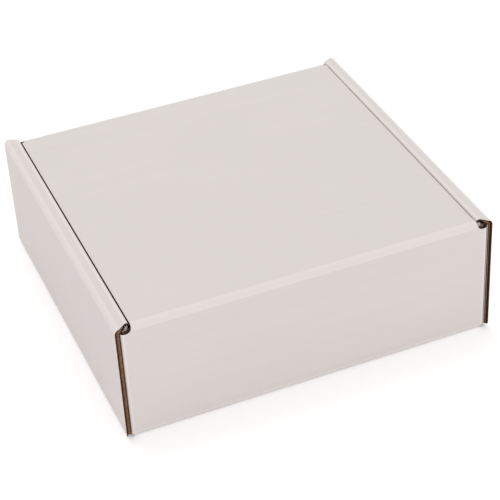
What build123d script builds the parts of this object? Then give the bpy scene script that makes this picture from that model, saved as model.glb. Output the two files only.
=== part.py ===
"""Corrugated mailer box with rolled side walls and a tuck-front lid, folded from one sheet of board.

Millimetres. +Z is up, the front wall faces -Y and the lid's hinge is on the rear wall, at +Y.
The origin is at the middle of the underside.
"""

from build123d import *
import math
import os

# Overall size, lid shut.
WIDTH = 240.0  # across the two outer side walls
DEPTH = 222.0  # from front wall to rear wall
HEIGHT = 82.0

# Board and folds.
BOARD = 3.0  # thickness of the board
PLAY = 0.3  # air between two plies that lie side by side
INNER_FOLD = 0.4  # inside radius of a crease

# Rolled side walls.
ROLL_DROP = 1.0  # how much lower a roll's outer crease is than its inner one
TAB_LENGTH = 40.0  # lock tab on the inner side wall, along Y
TAB_SPACING = 100.0  # between the middles of a side's two tabs
TAB_PLAY = 0.5  # air round a tab in its slot
RETURN_LENGTH = 12.0  # short return behind the rear wall

# Dust flaps, between the plies of the side walls.
DUST_FLAP_LENGTH = 87.0
DUST_FLAP_LIFT = 1.0  # from the base to a flap's lower edge
DUST_FLAP_SLOPE = 6.0  # how much lower a flap's top is at its free end

# Cuts in the front and rear walls.
RELIEF_RADIUS = 4.0  # round cut at each end of the hinge crease
RELIEF_INSET = 6.2  # its middle, from the box's side
RELIEF_DROP = 1.5  # its middle, below the box's top
CORNER_CUT = 4.0  # slanted cut at the foot of each vertical fold

# Lid.
LID_DROP = 0.6  # how much lower the lid lies than the rolls beside it
LID_SIDE_GAP = 0.5  # between the lid and each roll
TUCK_HEIGHT = 45.0
TUCK_CLEARANCE = 0.5  # between the top of the tuck flap and the front wall
TUCK_LEAN_SPARE = 1.0  # degrees, more than the lid's swing needs
EAR_LENGTH = 42.0
EAR_DROP = 2.0  # from the lid's underside to an ear
EAR_CORNER = 12.0
FRONT_WALL_DROP = 1.3  # from the lid's underside to the front wall's top

# Worked out from the sizes above.
half = BOARD / 2
fold = INNER_FOLD + half  # centre-line radius of a crease
outer_fold = INNER_FOLD + BOARD
half_width = WIDTH / 2
half_depth = DEPTH / 2
outer_wall = half_width - half  # centre line of the outer side wall
flap_wall = outer_wall - BOARD - PLAY  # centre line of the dust flaps
inner_wall = flap_wall - BOARD - PLAY  # centre line of the inner side wall
inner_face = inner_wall - half
cross_half = half_width - BOARD - PLAY  # half the length of the front and rear walls
cross_wall = half_depth - half  # centre line of the front and rear walls
inner_end = half_depth - BOARD - PLAY  # where the inner side walls end
foot = BOARD + PLAY  # lowest edge of the plies that stand on the base
lid_top = HEIGHT - LID_DROP
under_lid = lid_top - BOARD
hinge_y = half_depth - half
hinge_z = lid_top - half
rear_top = under_lid - PLAY
front_top = under_lid - FRONT_WALL_DROP
flap_top = HEIGHT - BOARD - ROLL_DROP - PLAY
roll_slope = math.atan2(ROLL_DROP, outer_wall - inner_wall)
rounding = fold * (math.tan(roll_slope) + 1 / math.cos(roll_slope) - 1)  # from a roll's sharp corner to its top
lid_half = inner_face - LID_SIDE_GAP
tuck_y = -half_depth + BOARD + TUCK_CLEARANCE  # outer corner of the lid's front crease
reach = hinge_y - tuck_y
lean = math.asin(TUCK_HEIGHT / (2 * reach)) + math.radians(TUCK_LEAN_SPARE)


def folded(points, radius=fold):
    """Section of a board whose centre line runs through the points."""
    return trace(FilletPolyline(*points, radius=radius), BOARD)


def along_y(section, start, end):
    """Solid of an X-Z section between two places on the Y axis."""
    return extrude(Plane((0, end, 0), x_dir=(1, 0, 0), z_dir=(0, -1, 0)) * section, end - start)


def along_x(section, start, end):
    """Solid of a Y-Z section between two places on the X axis."""
    return extrude(Plane((start, 0, 0), x_dir=(0, 1, 0), z_dir=(1, 0, 0)) * section, end - start)


def along_z(section, start, end):
    """Solid of an X-Y section between two heights."""
    return extrude(Plane((0, 0, start)) * section, end - start)


def block(x, y, z):
    """Box between two limits, in either order, on each axis."""
    limits = [sorted(pair) for pair in (x, y, z)]
    middle = [(low + high) / 2 for low, high in limits]
    return Pos(*middle) * Box(*(high - low for low, high in limits))


def outline(*points):
    """Flat face with straight edges between the points."""
    return make_face(Polyline(*points, close=True))


def cross_walls():
    """Front wall, base and rear wall, with rounded vertical folds and slanted lower corners."""
    path = [(-cross_wall, front_top), (-cross_wall, half), (cross_wall, half), (cross_wall, rear_top)]
    envelope = block((-cross_half, cross_half), (-half_depth, half_depth), (0, HEIGHT))
    walls = along_x(folded(path), -cross_half, cross_half)
    walls &= fillet(envelope.edges().filter_by(Axis.Z), outer_fold)
    for side in (-1, 1):
        beside_slab = (side * (half_width - outer_fold), side * half_width)
        walls -= block(beside_slab, (-inner_end, inner_end), (-PLAY, foot))
        corner = outline((side * (cross_half - CORNER_CUT), 0), (side * half_width, 0),
                         (side * half_width, CORNER_CUT + PLAY + BOARD), (side * cross_half, CORNER_CUT))
        for end in (-1, 1):
            limits = sorted((end * inner_end, end * (half_depth + PLAY)))
            walls -= along_y(corner, *limits)
    return walls


def dust_flaps():
    """The four dust flaps, with the vertical folds that join them to the front and rear walls."""
    tip = half_depth - DUST_FLAP_LENGTH
    lower = BOARD + DUST_FLAP_LIFT
    near = inner_end - outer_fold
    shoulder = flap_top - DUST_FLAP_SLOPE
    join = cross_half - outer_fold - BOARD
    flaps = Part()
    for end, top in ((-1, front_top), (1, rear_top)):
        trim = outline((end * half_depth, lower), (end * half_depth, top), (end * inner_end, top),
                       (end * near, flap_top), (end * tip, shoulder), (end * tip, lower))
        for side in (-1, 1):
            path = [(side * join, end * cross_wall), (side * flap_wall, end * cross_wall),
                    (side * flap_wall, end * tip)]
            fold_and_flap = along_z(folded(path), lower, HEIGHT)
            flaps += fold_and_flap & along_x(trim, -half_width, half_width)
    return flaps


def relief_cuts():
    """Round cuts through the rear wall at both ends of the hinge crease."""
    cuts = Part()
    for side in (-1, 1):
        round_cut = Pos(side * (half_width - RELIEF_INSET), HEIGHT - RELIEF_DROP) * Circle(RELIEF_RADIUS)
        cuts += along_y(round_cut, inner_end - outer_fold, half_depth + PLAY)
    return cuts


def side_wall(side):
    """Outer side wall, roll strip and inner side wall of one side, up to the base's edge."""
    slab_edge = half_width - outer_fold - BOARD
    corner = HEIGHT - half + rounding
    shell = folded([(side * slab_edge, half), (side * outer_wall, half),
                    (side * outer_wall, corner - ROLL_DROP), (side * inner_wall, corner),
                    (side * inner_wall, foot)])
    wall = along_y(shell, -half_depth, half_depth)
    inside = half_width - BOARD
    for end in (-1, 1):
        # The strip's end slants back to the inner wall, which ends short of the front or rear wall.
        beyond = end * (half_depth + BOARD)
        slant = outline((side * inside, beyond), (side * inside, end * half_depth),
                        (side * (inner_face + BOARD), end * inner_end),
                        (side * (inner_face - BOARD), end * inner_end), (side * (inner_face - BOARD), beyond))
        wall -= along_z(slant, BOARD, HEIGHT + PLAY)
        under_side = (side * inside, side * (slab_edge - BOARD))
        wall -= block(under_side, (end * inner_end, beyond), (-PLAY, outer_fold))
    return wall


def rear_return(side):
    """The inner side wall's rear end, creased to lie behind the rear wall."""
    back = inner_end - half
    path = [(side * inner_wall, inner_end - outer_fold - BOARD), (side * inner_wall, back),
            (side * (inner_face - RETURN_LENGTH), back)]
    return along_z(folded(path), foot, rear_top - PLAY)


def blunt_end(side):
    """What the rear return takes the place of."""
    across = (side * (inner_face - PLAY), side * (inner_face + BOARD + PLAY / 2))
    return block(across, (inner_end - outer_fold, inner_end), (BOARD + PLAY / 2, rear_top - PLAY))


def tabs(side, length, across, bottom, top):
    """The two lock tabs of one side, or their slots."""
    pair = Part()
    for end in (-1, 1):
        middle = end * TAB_SPACING / 2
        pair += block((side * inner_wall - across / 2, side * inner_wall + across / 2),
                      (middle - length / 2, middle + length / 2), (bottom, top))
    return pair


def make_tray():
    """Base, walls, rolled sides and dust flaps: all of the sheet but the lid."""
    sheet = cross_walls() + dust_flaps() - relief_cuts()
    for side in (-1, 1):
        sheet += side_wall(side) - blunt_end(side) + rear_return(side)
        sheet -= tabs(side, TAB_LENGTH + 2 * TAB_PLAY, BOARD + 2 * TAB_PLAY, -PLAY, BOARD)
        sheet += tabs(side, TAB_LENGTH, BOARD, PLAY, foot + PLAY)
    return sheet


def tuck_and_ears(corner):
    """Tuck flap with its two ears folded back, below the lid's front crease."""
    down = Vector(0, math.sin(lean), -math.cos(lean))
    flap_foot = Vector(0, *corner) + down * TUCK_HEIGHT
    ear = lid_half - half
    path = [(-ear, EAR_LENGTH), (-ear, 0), (ear, 0), (ear, EAR_LENGTH)]
    flap = extrude(Plane(flap_foot, x_dir=(1, 0, 0), z_dir=-down) * folded(path), TUCK_HEIGHT - fold)
    top = under_lid - EAR_DROP
    front = tuck_y - BOARD
    tip = tuck_y + EAR_LENGTH
    bottom = flap_foot.Z - BOARD
    trim = outline((front, bottom), (front, top), (tip, top), (tip, bottom))
    tips = trim.vertices().group_by(Axis.X)[-1]
    return flap & along_x(fillet(tips, EAR_CORNER), -lid_half, lid_half)


def make_lid():
    """Lid panel with its hinge edge, front crease, tuck flap and ears."""
    corner = (tuck_y + half * (1 + math.sin(lean)) / math.cos(lean), hinge_z)
    flap_end = (corner[0] + math.sin(lean) * TUCK_HEIGHT, corner[1] - math.cos(lean) * TUCK_HEIGHT)
    ear_crease = lid_half - outer_fold
    creased = along_x(folded([(hinge_y, hinge_z), corner, flap_end]), -ear_crease, ear_crease)
    panel = block((-lid_half, lid_half), (corner[0] + outer_fold, hinge_y), (under_lid, lid_top))
    nose = along_x(Pos(hinge_y, hinge_z) * Circle(half), -lid_half, lid_half)
    return creased + panel + nose + tuck_and_ears(corner)


os.makedirs("parts", exist_ok=True)
for name, shape in (("tray", make_tray()), ("lid", make_lid())):
    export_step(shape, f"parts/{name}.step")
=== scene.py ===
"""Looks of a corrugated mailer box: one printed-white sheet of B-flute board, cut, creased and folded.

The whole sheet is drawn flat, as it leaves the die, in blank coordinates in millimetres: u runs across the
box, v from the front wall over the base, rear wall and lid to the tuck flap, and w through the board, towards
the inside of the box. The two liners, the fluting that shows at the cut edges and a dark block of painted
shade for the hollows between the flutes are made from that one outline. Then the sheet is folded along its
creases into the box.
"""

import math

import bmesh
import bpy
from mathutils import Matrix, Vector


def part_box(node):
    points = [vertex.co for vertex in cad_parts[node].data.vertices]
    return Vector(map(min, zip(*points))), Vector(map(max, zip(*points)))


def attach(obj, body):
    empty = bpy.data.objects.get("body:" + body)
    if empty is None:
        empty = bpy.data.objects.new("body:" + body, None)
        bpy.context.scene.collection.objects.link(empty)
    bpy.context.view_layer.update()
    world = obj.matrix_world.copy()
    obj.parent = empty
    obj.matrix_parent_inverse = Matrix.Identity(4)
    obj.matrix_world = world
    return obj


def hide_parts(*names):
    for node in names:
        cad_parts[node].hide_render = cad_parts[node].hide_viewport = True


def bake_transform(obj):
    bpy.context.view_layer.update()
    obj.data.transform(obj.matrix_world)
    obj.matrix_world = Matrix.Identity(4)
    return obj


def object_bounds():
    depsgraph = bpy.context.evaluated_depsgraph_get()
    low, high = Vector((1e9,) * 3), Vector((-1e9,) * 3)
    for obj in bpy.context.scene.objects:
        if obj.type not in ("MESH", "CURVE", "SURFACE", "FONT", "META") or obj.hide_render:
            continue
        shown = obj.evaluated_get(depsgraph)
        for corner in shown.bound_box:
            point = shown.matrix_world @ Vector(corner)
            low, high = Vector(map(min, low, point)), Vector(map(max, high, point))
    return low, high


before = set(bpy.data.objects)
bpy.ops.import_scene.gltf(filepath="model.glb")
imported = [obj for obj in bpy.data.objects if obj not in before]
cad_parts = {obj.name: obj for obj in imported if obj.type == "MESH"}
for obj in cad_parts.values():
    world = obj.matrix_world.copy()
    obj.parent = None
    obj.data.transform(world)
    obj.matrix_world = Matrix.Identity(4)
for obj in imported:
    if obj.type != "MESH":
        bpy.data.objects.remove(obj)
cad_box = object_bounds()

MM = 0.001

# Overall size of the box, from the frame.
WIDTH = (cad_box[1].x - cad_box[0].x) / MM
DEPTH = (cad_box[1].y - cad_box[0].y) / MM
HEIGHT = (cad_box[1].z - cad_box[0].z) / MM
LID_WIDTH = (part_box("lid")[1].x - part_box("lid")[0].x) / MM

# Board.
BOARD = 3.0
LINER = 0.34  # thickness of one face paper
FLUTE_PITCH = 6.5
FLUTE_RISE = 0.98  # from the board's middle to the top of a flute
FLUTE_PAPER = 0.22
FLUTE_START = 2.2  # where in a flute the sheet's rear cut lies
FLUTE_STEPS = 8  # strips in one flute
FLUTE_INSET = 0.12  # how far the fluting lies back from a cut edge
FLUTE_GAP = 0.03  # air between a liner and the block of painted shade in the flutes
CUT_DEPTH = 1.2  # how far the flutes are seen into at a cut edge
OPENED = 1.15  # how far a side wall's inner liner stands open at its cut end
PRESSED = 0.6  # how far the lid's cut sides are pressed down by the die
WORN_EDGE = 1.8  # width of the opened or pressed strip along a cut
PRESS_FADE = 6.0  # length over which the pressed strip starts and ends
HINGE_REACH = 4.0  # how much of the lid beside its crease bends with it
HINGE_STEPS = 8

# Creases.
PLAY = 0.3  # air between two plies that lie side by side
SOFT = 0.4 + BOARD / 2  # radius of a soft crease, to the board's middle
TIGHT = 0.7  # radius of a crushed crease, to the board's middle
SHARP = 0.45  # radius of the upright creases at the corners
CRUSHED = 0.12  # least inside radius of a crushed crease
NEAR_LINE = 0.5  # from a bend to the first fold line beside it
FAR_LINE = 1.1  # from a bend to the second one
CREASE_HIGHLIGHT_REACH = 0.4  # how far the painted crease highlight reaches beside a bend
SMOOTH_ANGLE = math.radians(32)
QUARTER = math.radians(90)

# Rolled sides, flaps and lid.
ROLL_DROP = 1.0
TAB_LENGTH = 40.0
TAB_SPACING = 100.0
TAB_REACH = 3.0
SLOT_PLAY = 0.5
RETURN_LENGTH = 12.0
DUST_FLAP_LENGTH = 87.0
FLAP_SHIFT = 0.2  # how much nearer the outer side walls the dust flaps lie than PLAY puts them
DUST_FLAP_LIFT = 1.0
DUST_FLAP_SLOPE = 6.0
RELIEF_RADIUS = 4.0
RELIEF_INSET = 6.2
RELIEF_DROP = 1.5
FRONT_WALL_DROP = 1.3
LID_DROP = 0.6
TUCK_HEIGHT = 45.0
TUCK_CLEARANCE = 0.5
TUCK_LEAN = math.radians(6.95)
EAR_LENGTH = 40.0
EAR_DROP = 2.0
EAR_CORNER = 12.0

# Small cuts of the die, each beside the crease or edge that it clears.
KNIFE = 0.1  # between a side wall's end and the dust flaps
FLAP_FOOT_OUT = 0.2
FLAP_FOOT_IN = 0.6
SIDE_FOOT_NEAR = 1.0
SIDE_FOOT_FAR = 2.0
ROLL_END = 0.7
RETURN_CUT = 0.4
TAB_TAPER = 0.6
EAR_CUT_START = 1.4
EAR_CUT_END = 0.6
EAR_CUT_IN = 0.4

# Finishes: two tones of each raw paper and of the painted shade in the hollow flutes, and the size of their
# spots.
WHITE_PAPER = (0.695, 0.650, 0.630)
WASHBOARD = 0.00004
GRAIN = 0.000012
CUT_LINER = ((0.052, 0.025, 0.0137), (0.145, 0.078, 0.046), 1500)
CUT_FLUTING = ((0.175, 0.092, 0.049), (0.34, 0.19, 0.107), 1100)
# painted shade: the dark seen in the hollows between the flutes, not a paper colour
PAINTED_FLUTE_SHADE_TONES = ((0.027, 0.0135, 0.0067), (0.061, 0.032, 0.017), 900)

# Studio. Each lamp: name, azimuth, elevation, distance, size, power, colour.
FLOOR_SIZE = 6.0
FLOOR_GLOW = 0.17
WORLD_LIGHT = 0.88
LAMPS = [("key_light", 5, 66, 1.6, 1.0, 4.5, (1, 1, 1)),
         ("fill_light", 200, 10, 1.8, 0.5, 2.9, (1, 1, 1)),
         ("side_light", 115, 12, 0.7, 0.2, 0.06, (1.0, 0.10, 0.40))]

# Places of the plies in the folded box, at the board's middle.
half = BOARD / 2
half_depth = DEPTH / 2
outer_wall = WIDTH / 2 - half
flap_wall = outer_wall - BOARD - PLAY + FLAP_SHIFT
inner_wall = outer_wall - 2 * (BOARD + PLAY)
cross_wall = half_depth - half
inner_end = half_depth - BOARD - PLAY
foot = BOARD + PLAY
under_lid = HEIGHT - LID_DROP - BOARD
flap_top = HEIGHT - BOARD - ROLL_DROP - PLAY
crease_foot = flap_top + 0.05  # just above the dust flaps, so that none of them follows the lid
hinge_y = half_depth - half
hinge_z = HEIGHT - LID_DROP - half
lid_half = LID_WIDTH / 2


def setback(turn, radius):
    """From a crease's sharp corner back to where its bend starts."""
    return radius * math.tan(turn / 2)


# Each run of panels is a list of creases: where a bend starts along the sheet, how far it turns, its radius.
roll_slope = math.atan2(ROLL_DROP, outer_wall - inner_wall)
outer_turn = QUARTER - roll_slope
inner_turn = QUARTER + roll_slope
side_start = outer_wall - SOFT
side_end = side_start + SOFT * QUARTER
roll_corner = HEIGHT - half + TIGHT * (math.tan(roll_slope) + 1 / math.cos(roll_slope) - 1)
roll_start = side_end + roll_corner - ROLL_DROP - setback(outer_turn, SOFT) - half - SOFT
roll_end = roll_start + SOFT * outer_turn
roll_width = math.hypot(outer_wall - inner_wall, ROLL_DROP)
inner_start = roll_end + roll_width - setback(outer_turn, SOFT) - setback(inner_turn, TIGHT)
inner_top = inner_start + TIGHT * inner_turn
inner_foot = inner_top + roll_corner - setback(inner_turn, TIGHT) - foot
side_creases = [(side_start, QUARTER, SOFT), (roll_start, outer_turn, SOFT), (inner_start, inner_turn, TIGHT)]

wall_start = cross_wall - SOFT
wall_end = wall_start + SOFT * QUARTER
hinge_start = wall_end + hinge_z - SOFT - half - SOFT
hinge_end = hinge_start + SOFT * QUARTER
tuck_corner = -half_depth + BOARD + TUCK_CLEARANCE + half * (1 + math.sin(TUCK_LEAN)) / math.cos(TUCK_LEAN)
tuck_turn = QUARTER + TUCK_LEAN
tuck_start = hinge_end + hinge_y - SOFT - tuck_corner - setback(tuck_turn, SOFT)
tuck_end = tuck_start + SOFT * tuck_turn
tuck_foot = tuck_end + TUCK_HEIGHT - setback(tuck_turn, SOFT)
front_creases = [(wall_start, QUARTER, SOFT)]
rear_creases = [*front_creases, (hinge_start, QUARTER, SOFT), (tuck_start, tuck_turn, SOFT)]

flap_start = flap_wall - SHARP
flap_end = flap_start + SHARP * QUARTER
flap_tip = flap_end + cross_wall - SHARP - (half_depth - DUST_FLAP_LENGTH)
return_start = inner_end - half - TIGHT
return_end = return_start + TIGHT * QUARTER
return_tip = return_end + half - TIGHT + RETURN_LENGTH
return_top = inner_top + RETURN_CUT
ear_start = lid_half - half - SOFT
ear_end = ear_start + SOFT * QUARTER
ear_tip = ear_end + EAR_LENGTH - SOFT
slit = half_depth + KNIFE


def up_the_wall(height):
    """How far along the sheet a height on the front or rear wall is."""
    return wall_end + height - half - SOFT


def arc(middle, radius, start, end, steps):
    """Points on a round cut, between two angles in degrees."""
    angles = [math.radians(start + (end - start) * step / steps) for step in range(steps + 1)]
    return [(middle[0] + radius * math.cos(a), middle[1] + radius * math.sin(a)) for a in angles]


# The cut sheet's outline.

def dust_flap_outline():
    """A dust flap's edge, from its upper tip to the slanted cut at its foot."""
    return [(flap_tip, up_the_wall(flap_top - DUST_FLAP_SLOPE)),
            (flap_tip, up_the_wall(BOARD + DUST_FLAP_LIFT)),
            (flap_end + FLAP_FOOT_OUT, up_the_wall(BOARD + DUST_FLAP_LIFT)),
            (flap_start - FLAP_FOOT_IN, wall_start)]


def side_end_outline():
    """A side wall's end and its roll's slanted end, up to the inner wall."""
    return [(side_start + SIDE_FOOT_NEAR, wall_start), (side_start + SIDE_FOOT_FAR, half_depth),
            (roll_end, half_depth), (inner_start + ROLL_END, inner_end)]


def tab_outline():
    """The inner wall's foot, with its two lock tabs."""
    points = []
    for middle in (-TAB_SPACING / 2, TAB_SPACING / 2):
        near, far = middle - TAB_LENGTH / 2, middle + TAB_LENGTH / 2
        points += [(inner_foot, near), (inner_foot + TAB_REACH, near + TAB_TAPER),
                   (inner_foot + TAB_REACH, far - TAB_TAPER), (inner_foot, far)]
    return points


def relief_outline():
    """The round cut between the rear wall's top and the lid's corner."""
    middle = (WIDTH / 2 - RELIEF_INSET, up_the_wall(HEIGHT - RELIEF_DROP))
    start = -math.degrees(math.asin((middle[1] - up_the_wall(flap_top)) / RELIEF_RADIUS))
    return arc(middle, RELIEF_RADIUS, start, -180, 14)


def ear_top(out):
    """Where an ear's upper edge is along the sheet, a distance out from the tuck flap."""
    drop = (half + EAR_DROP + out * math.sin(TUCK_LEAN)) / math.cos(TUCK_LEAN)
    return tuck_end + drop - setback(tuck_turn, SOFT)


def ear_outline():
    """The lid's front corner and the ear beside the tuck flap."""
    rounding = EAR_CORNER * 0.5
    top = ear_top(EAR_LENGTH)
    return [(lid_half, tuck_start - EAR_CUT_START), (ear_start + EAR_CUT_IN, tuck_start + EAR_CUT_END),
            (ear_start + EAR_CUT_IN, ear_top(0)), (ear_end, ear_top(SOFT)),
            *arc((ear_tip - rounding, top + rounding), rounding, -90, 0, 6),
            *arc((ear_tip - EAR_CORNER, tuck_foot - EAR_CORNER), EAR_CORNER, 0, 90, 8)]


def sheet_outline():
    """The whole sheet's outline, both halves, once round."""
    front_top = under_lid - FRONT_WALL_DROP
    front = [(u, -v) for u, v in [(flap_end + SOFT, up_the_wall(front_top)), *dust_flap_outline()]]
    front += [(u, -v) for u, v in side_end_outline()]
    rear_side = [(inner_foot, return_tip), (return_top, return_tip), (return_top, return_start),
                 (inner_top, return_start), (inner_top, inner_end), *reversed(side_end_outline())]
    rear = [*reversed(dust_flap_outline()), *relief_outline()]
    right = [*front, (inner_foot, -inner_end), *tab_outline(), *rear_side, *rear, *ear_outline()]
    return right + [(-u, v) for u, v in reversed(right)]


# Folding.

def bent(creases, along, through):
    """Where a point on a run of panels lies once its creases are bent: distance out and height."""
    out = rise = heading = done = 0.0
    for start, turn, radius in creases:
        straight = min(along, start) - done
        out += straight * math.cos(heading)
        rise += straight * math.sin(heading)
        done += straight
        bend = min(max((along - start) / radius, 0.0), turn)
        out += radius * (math.sin(heading + bend) - math.sin(heading))
        rise += radius * (math.cos(heading) - math.cos(heading + bend))
        heading += bend
        done += radius * bend
        if through > 0 and turn > 0:
            away = max(start - along, along - start - radius * turn, 0.0)
            through = min(through, radius - CRUSHED + away / math.tan(turn / 2))
        if along <= done:
            break
    straight = along - done
    out += straight * math.cos(heading) - through * math.sin(heading)
    rise += straight * math.sin(heading) + through * math.cos(heading)
    return out, rise


def cut_wear(u, v, w):
    """Where a point through the board lies once the cut edge near it is opened or pressed."""
    if w > 0 and side_end < u < roll_start:
        near = min(max((v - half_depth + WORN_EDGE) / WORN_EDGE, 0), 1)
        bow = math.sin(math.pi * (u - side_end) / (roll_start - side_end)) ** 0.6
        return w * (1 + OPENED / half * near ** 2 * bow)
    if w < 0 and hinge_end < v < tuck_start:
        near = min(max((u - lid_half + WORN_EDGE) / WORN_EDGE, 0), 1)
        panel = min((v - hinge_end) / PRESS_FADE, (tuck_start - v) / PRESS_FADE, 1)
        return w * (1 - PRESSED / half * near ** 2 * panel)
    return w


def fold(u, v, w):
    """Where a point of the flat sheet lies in the folded box."""
    side, end = math.copysign(1, u), math.copysign(1, v)
    u, along = abs(u), abs(v)
    w = cut_wear(u, along if u > side_start else v, w)
    if u > side_start and along < slit:
        if v > return_start and u > (inner_top + return_top) / 2:
            along, w = bent([(return_start, QUARTER, TIGHT)], along, w)
        out, rise = bent(side_creases, u, w)
        return side * out, end * along, half + rise
    if v > tuck_end and u > ear_start:
        u, w = bent([(ear_start, QUARTER, SOFT)], u, w)
    elif wall_start < along < tuck_start and u > flap_start:
        turned = min((along - wall_start) / (wall_end - wall_start), 1.0)
        u, w = bent([(flap_start, QUARTER * turned, SHARP)], u, w)
        out, rise = bent(front_creases, along, w)
        return side * u, end * out, half + rise
    out, rise = bent(rear_creases if v > 0 else front_creases, along, w)
    return side * u, end * out, half + rise


def painted_crease_highlight(u, v):
    """How much painted highlight a crease gives a point of the sheet, from 0 to 1."""
    u, along = abs(u), abs(v)
    lines = []
    if u > side_start and along < slit:
        lines += [(u, *crease) for crease in side_creases]
    else:
        lines += [(along, *crease) for crease in (rear_creases if v > 0 else front_creases)]
        if along > wall_end and v < tuck_start:
            lines.append((u, flap_start, QUARTER, SHARP))
        if v > tuck_end:
            lines.append((u, ear_start, QUARTER, SOFT))
    return float(any(
        start - CREASE_HIGHLIGHT_REACH < at < start + radius * turn + CREASE_HIGHLIGHT_REACH for at, start, turn, radius in lines))


# Sheet layers.

def cut(bm, across, place):
    """Cuts every face along a line of the sheet: across is 0 for a line of one u, 1 for a line of one v."""
    normal = Vector((1, 0, 0)) if across == 0 else Vector((0, 1, 0))
    bmesh.ops.bisect_plane(bm, geom=bm.verts[:] + bm.edges[:] + bm.faces[:], dist=1e-5,
                           plane_co=normal * place, plane_no=normal)


def cut_crease(bm, across, start, turn, radius, steps=6):
    """Cuts a crease's bend into narrow strips, with two more lines on each side of it."""
    length = radius * turn
    places = [start + length * step / steps for step in range(steps + 1)]
    end = start + length
    for place in [start - FAR_LINE, start - NEAR_LINE, *places, end + NEAR_LINE, end + FAR_LINE]:
        cut(bm, across, place)
        if across == 0:
            cut(bm, across, -place)


def cut_creases(bm):
    """Cuts a flat layer along all its creases, and where the lid bends or is pressed."""
    for crease in [*side_creases, (flap_start, QUARTER, SHARP), (ear_start, QUARTER, SOFT)]:
        cut_crease(bm, 0, *crease)
    for crease in [*rear_creases, (return_start, QUARTER, TIGHT), (-wall_end, QUARTER, SOFT)]:
        cut_crease(bm, 1, *crease)
    for step in range(1, HINGE_STEPS):
        cut(bm, 1, hinge_end + step * HINGE_REACH / HINGE_STEPS)
    for step in range(1, 5):
        cut(bm, 0, lid_half - WORN_EDGE * step / 4)
        cut(bm, 0, -lid_half + WORN_EDGE * step / 4)


def cut_slots(bm):
    """Cuts the four slots for the lock tabs out of the base."""
    sides = [inner_wall - half - SLOT_PLAY, inner_wall + half + SLOT_PLAY]
    reach = TAB_LENGTH / 2 + SLOT_PLAY
    ends = [TAB_SPACING / 2 - reach, TAB_SPACING / 2 + reach]
    for way in (-1, 1):
        for place in sides:
            cut(bm, 0, way * place)
        for place in ends:
            cut(bm, 1, way * place)
    inside = []
    for face in bm.faces:
        middle = face.calc_center_median()
        if sides[0] < abs(middle.x) < sides[1] and ends[0] < abs(middle.y) < ends[1]:
            inside.append(face)
    bmesh.ops.delete(bm, geom=inside, context="FACES")


def flat_sheet(margin=0.0):
    """The sheet's outline as one flat face, smaller all round by a margin."""
    bm = bmesh.new()
    face = bm.faces.new([bm.verts.new((u, v, 0)) for u, v in sheet_outline()])
    face.normal_update()
    if margin:
        ring = bmesh.ops.inset_region(bm, faces=[face], thickness=margin, use_even_offset=True,
                                      use_boundary=True)["faces"]
        bmesh.ops.delete(bm, geom=ring, context="FACES")
    return bm


def thicken(bm, lower, upper):
    """Gives a flat layer its thickness, between two places through the board."""
    made = bmesh.ops.extrude_face_region(bm, geom=bm.faces[:])["geom"]
    raised = [part for part in made if isinstance(part, bmesh.types.BMVert)]
    bmesh.ops.translate(bm, vec=(0, 0, lower), verts=bm.verts)
    bmesh.ops.translate(bm, vec=(0, 0, upper - lower), verts=raised)
    bmesh.ops.recalc_face_normals(bm, faces=bm.faces)


WHITE, PAPER_EDGE, FLUTING, FLUTE_SHADE = range(4)


def liner(lower, upper, outside):
    """One face paper: white on its outside, raw at its cut edges."""
    bm = flat_sheet()
    bmesh.ops.triangulate(bm, faces=bm.faces)
    cut_creases(bm)
    cut_slots(bm)
    thicken(bm, lower, upper)
    for face in bm.faces:
        face.material_index = WHITE if face.normal.z * outside > 0.5 else PAPER_EDGE
    return bm


def painted_flute_shade():
    """Painted shade: a dark block between the liners, deep in a cut edge, for the shade in the hollows
    between the flutes.
    """
    bm = flat_sheet(CUT_DEPTH)
    bmesh.ops.triangulate(bm, faces=bm.faces)
    cut_creases(bm)
    cut_slots(bm)
    thicken(bm, -half + LINER + FLUTE_GAP, half - LINER - FLUTE_GAP)
    for face in bm.faces:
        face.material_index = FLUTE_SHADE
    return bm


def fluting():
    """The waved paper between the liners, a narrow band of it along every cut edge."""
    bm = flat_sheet(FLUTE_INSET)
    inner = bmesh.ops.inset_region(bm, faces=bm.faces[:], thickness=CUT_DEPTH + 0.1, use_even_offset=True,
                                   use_boundary=True)["faces"]
    middle = [face for face in bm.faces if face not in inner]
    bmesh.ops.delete(bm, geom=middle, context="FACES")
    steps = math.ceil((tuck_foot + hinge_start) / FLUTE_PITCH * FLUTE_STEPS)
    for step in range(steps):
        cut(bm, 1, -hinge_start + step * FLUTE_PITCH / FLUTE_STEPS)
    cut_creases(bm)
    thicken(bm, -FLUTE_PAPER / 2, FLUTE_PAPER / 2)
    for vert in bm.verts:
        phase = (half_depth + FLUTE_START - vert.co.y) / FLUTE_PITCH
        vert.co.z += FLUTE_RISE * math.sin(2 * math.pi * phase)
    for face in bm.faces:
        face.material_index = FLUTING
    return bm


def joined(layers):
    """All layers of the board in one mesh."""
    whole = bmesh.new()
    for layer in layers:
        mesh = bpy.data.meshes.new("layer")
        layer.to_mesh(mesh)
        whole.from_mesh(mesh)
        bpy.data.meshes.remove(mesh)
    return whole


def part_of(sheet, start, end):
    """The stretch of the sheet between two cuts across it, closed at both."""
    bm = sheet.copy()
    for place, way in ((start, -1), (end, 1)):
        if place is not None:
            bmesh.ops.bisect_plane(bm, geom=bm.verts[:] + bm.edges[:] + bm.faces[:], dist=1e-5,
                                   plane_co=(0, place, 0), plane_no=(0, way, 0), clear_outer=True)
            rim = [edge for edge in bm.edges if edge.is_boundary]
            for face in bmesh.ops.holes_fill(bm, edges=rim, sides=0)["faces"]:
                face.material_index = PAPER_EDGE
    return bm


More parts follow.
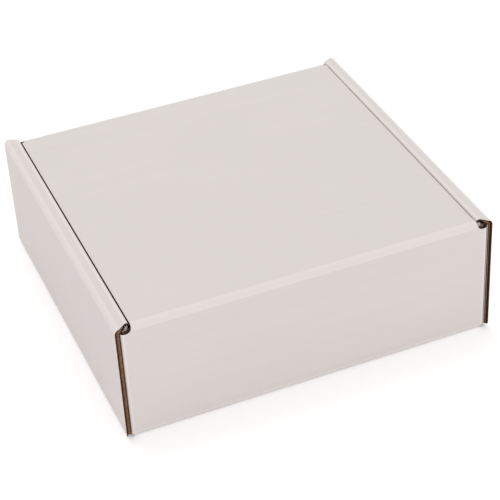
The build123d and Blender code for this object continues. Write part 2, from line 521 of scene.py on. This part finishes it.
def fold_up(bm, name, materials):
    """Folds a part of the flat sheet and makes it a piece, with its blank coordinates as its UV map."""
    blank = bm.loops.layers.uv.new("blank")
    # the crease layer marks where the painted crease highlight goes
    painted_highlight = bm.verts.layers.float.new("crease")
    for face in bm.faces:
        for loop in face.loops:
            loop[blank].uv = loop.vert.co.xy * MM
    for vert in bm.verts:
        vert[painted_highlight] = painted_crease_highlight(*vert.co.xy)
        vert.co = Vector(fold(*vert.co)) * MM
    bm.normal_update()
    for face in bm.faces:
        face.smooth = True
    for edge in bm.edges:
        edge.smooth = edge.calc_face_angle(0) < SMOOTH_ANGLE
    mesh = bpy.data.meshes.new(name)
    bm.to_mesh(mesh)
    for material in materials:
        mesh.materials.append(material)
    piece = bpy.data.objects.new(name, mesh)
    bpy.context.scene.collection.objects.link(piece)
    return piece


# Materials.

def new_material(name):
    """A material with a principled shader, and a function that adds a node and joins its inputs."""
    material = bpy.data.materials.new(name)
    material.use_nodes = True
    tree = material.node_tree
    shader = tree.nodes["Principled BSDF"]

    def add(kind, inputs=(), **settings):
        node = tree.nodes.new(kind)
        for key, value in settings.items():
            setattr(node, key, value)
        for key, value in dict(inputs).items():
            if isinstance(value, bpy.types.NodeSocket):
                tree.links.new(value, node.inputs[key])
            else:
                node.inputs[key].default_value = value
        return node

    return material, tree, shader, add


def white_board():
    """Matte white face paper: washboard of the flutes, faint mottling and fibres, painted highlight on the
    creases.
    """
    material, tree, shader, add = new_material("white_board")
    blank = add("ShaderNodeUVMap", uv_map="blank").outputs["UV"]
    position = add("ShaderNodeSeparateXYZ", {"Vector": blank})
    stretched = add("ShaderNodeMapping", {"Vector": blank, "Scale": (9, 210, 1)}).outputs["Vector"]
    streaks = add("ShaderNodeTexNoise", {"Vector": stretched, "Scale": 1.0, "Detail": 3.0}).outputs["Fac"]
    clouds = add("ShaderNodeTexNoise", {"Vector": blank, "Scale": 16.0, "Detail": 4.0}).outputs["Fac"]
    fibres = add("ShaderNodeTexNoise", {"Vector": blank, "Scale": 900.0, "Detail": 3.0}).outputs["Fac"]
    turn = 2 * math.pi / (FLUTE_PITCH * MM)
    phase = add("ShaderNodeMath", {0: position.outputs["Y"], 1: turn}, operation="MULTIPLY").outputs[0]
    wave = add("ShaderNodeMath", {0: phase}, operation="SINE").outputs[0]
    washboard = add("ShaderNodeMath", {0: wave, 1: clouds}, operation="MULTIPLY").outputs[0]
    relief = add("ShaderNodeMath", {0: washboard, 1: WASHBOARD}, operation="MULTIPLY").outputs[0]
    grain = add("ShaderNodeMath", {0: fibres, 1: GRAIN, 2: relief}, operation="MULTIPLY_ADD").outputs[0]
    bump = add("ShaderNodeBump", {"Height": grain, "Distance": 1.0, "Strength": 1.0})
    tone = add("ShaderNodeMath", {0: clouds, 1: 0.05, 2: -0.025}, operation="MULTIPLY_ADD").outputs[0]
    tone = add("ShaderNodeMath", {0: streaks, 1: 0.05, 2: tone}, operation="MULTIPLY_ADD").outputs[0]
    # painted highlight: the paper is made lighter on the creases' bends
    painted_highlight = add("ShaderNodeAttribute", attribute_name="crease").outputs["Fac"]
    tone = add("ShaderNodeMath", {0: painted_highlight, 1: 0.09, 2: tone}, operation="MULTIPLY_ADD").outputs[0]
    tone = add("ShaderNodeMath", {0: tone, 1: 0.96}, operation="ADD").outputs[0]
    colour = add("ShaderNodeVectorMath", {0: WHITE_PAPER, "Scale": tone}, operation="SCALE").outputs[0]
    tree.links.new(colour, shader.inputs["Base Color"])
    tree.links.new(bump.outputs["Normal"], shader.inputs["Normal"])
    shader.inputs["Roughness"].default_value = 0.62
    shader.inputs["Specular IOR Level"].default_value = 0.3
    return material


def raw_paper_and_painted_shade(name, dark, light, scale):
    """Brown paper at a cut edge, mottled between two tones; also used for the painted shade deep in the
    flutes.
    """
    material, tree, shader, add = new_material(name)
    place = add("ShaderNodeTexCoord").outputs["Object"]
    spots = add("ShaderNodeTexNoise", {"Vector": place, "Scale": scale, "Detail": 4.0}).outputs["Fac"]
    ramp = add("ShaderNodeValToRGB", {"Fac": spots})
    ramp.color_ramp.elements[0].position = 0.35
    ramp.color_ramp.elements[0].color = (*dark, 1)
    ramp.color_ramp.elements[1].position = 0.65
    ramp.color_ramp.elements[1].color = (*light, 1)
    tree.links.new(ramp.outputs["Color"], shader.inputs["Base Color"])
    fuzz = add("ShaderNodeTexNoise", {"Vector": place, "Scale": scale * 6, "Detail": 2.0}).outputs["Fac"]
    bump = add("ShaderNodeBump", {"Height": fuzz, "Distance": 0.00005, "Strength": 1.0})
    tree.links.new(bump.outputs["Normal"], shader.inputs["Normal"])
    shader.inputs["Roughness"].default_value = 0.9
    shader.inputs["Specular IOR Level"].default_value = 0.15
    return material


def studio_floor():
    """Pale floor that fades to plain white where nothing shades it."""
    material, tree, shader, add = new_material("studio_floor")
    ray = add("ShaderNodeLightPath")
    seen = add("ShaderNodeMath", {0: ray.outputs["Is Camera Ray"], 1: ray.outputs["Is Glossy Ray"]},
               operation="MAXIMUM").outputs[0]
    seen = add("ShaderNodeMath", {0: seen, 1: ray.outputs["Is Transmission Ray"]},
               operation="MAXIMUM").outputs[0]
    glow = add("ShaderNodeMath", {0: seen, 1: FLOOR_GLOW}, operation="MULTIPLY").outputs[0]
    tree.links.new(glow, shader.inputs["Emission Strength"])
    shader.inputs["Emission Color"].default_value = (1, 1, 1, 1)
    shader.inputs["Base Color"].default_value = (0.98, 0.98, 0.98, 1)
    shader.inputs["Roughness"].default_value = 0.8
    shader.inputs["Specular IOR Level"].default_value = 0.1
    return material


# The studio.

def make_floor():
    bm = bmesh.new()
    bmesh.ops.create_grid(bm, x_segments=1, y_segments=1, size=FLOOR_SIZE)
    mesh = bpy.data.meshes.new("floor")
    bm.to_mesh(mesh)
    mesh.materials.append(studio_floor())
    floor = bpy.data.objects.new("floor", mesh)
    bpy.context.scene.collection.objects.link(floor)


def make_world():
    world = bpy.data.worlds.new("studio")
    world.use_nodes = True
    tree = world.node_tree
    sky = tree.nodes["Background"]
    ray = tree.nodes.new("ShaderNodeLightPath")
    shown = tree.nodes.new("ShaderNodeMath")
    shown.operation = "MAXIMUM"
    tree.links.new(ray.outputs["Is Camera Ray"], shown.inputs[0])
    shown.inputs[1].default_value = WORLD_LIGHT
    tree.links.new(shown.outputs[0], sky.inputs["Strength"])
    sky.inputs["Color"].default_value = (1, 1, 1, 1)
    bpy.context.scene.world = world


def make_lamp(name, azimuth, elevation, distance, size, power, colour):
    """A square soft lamp aimed at the box. Azimuth 0 stands at -Y and 90 at +X."""
    a, e = math.radians(azimuth), math.radians(elevation)
    away = Vector((math.sin(a) * math.cos(e), -math.cos(a) * math.cos(e), math.sin(e)))
    light = bpy.data.lights.new(name, "AREA")
    light.size = size
    light.energy = power
    light.color = colour
    lamp = bpy.data.objects.new(name, light)
    lamp.location = away * distance
    lamp.rotation_mode = "QUATERNION"
    lamp.rotation_quaternion = away.to_track_quat("Z", "Y")
    bpy.context.scene.collection.objects.link(lamp)


def make_camera():
    """Long lens, from above the rear left corner, turned a little to one side."""
    aim = Vector((-0.0026, 0.0091, 0.0306))
    azimuth, elevation, distance = math.radians(159.08), math.radians(35.98), 1.0665
    roll = math.radians(-3.37)
    back = Vector((math.sin(azimuth) * math.cos(elevation), -math.cos(azimuth) * math.cos(elevation),
                   math.sin(elevation)))
    camera = bpy.data.cameras.new("camera")
    camera.lens = 119.6
    camera.sensor_width = 36.0
    camera.clip_end = 50
    holder = bpy.data.objects.new("camera", camera)
    holder.rotation_mode = "QUATERNION"
    turned = (-back).to_track_quat("-Z", "Y") @ Matrix.Rotation(roll, 4, "Z").to_quaternion()
    holder.rotation_quaternion = turned
    holder.location = aim + back * distance
    bpy.context.scene.collection.objects.link(holder)
    bpy.context.scene.camera = holder


# The box.

def make_box():
    # the last of these materials is painted shade for the hollows between the flutes
    materials = [white_board(),
                 raw_paper_and_painted_shade("cut_liner", *CUT_LINER),
                 raw_paper_and_painted_shade("fluting", *CUT_FLUTING),
                 raw_paper_and_painted_shade("flute_shade", *PAINTED_FLUTE_SHADE_TONES)]
    sheet = joined([liner(-half, -half + LINER, -1), liner(half - LINER, half, 1), painted_flute_shade(), fluting()])
    below = up_the_wall(crease_foot)
    beyond = hinge_end + HINGE_REACH
    tray = fold_up(part_of(sheet, None, below), "tray_board", materials)
    lid = fold_up(part_of(sheet, beyond, None), "lid_board", materials)
    crease = fold_up(part_of(sheet, below, beyond), "hinge_crease", materials)
    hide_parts("tray")
    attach(tray, "tray")
    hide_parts("lid")
    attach(lid, "lid")
    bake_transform(crease)


bpy.context.scene.view_settings.view_transform = "Standard"
make_camera()
make_floor()
make_world()
for lamp in LAMPS:
    make_lamp(*lamp)
make_box()
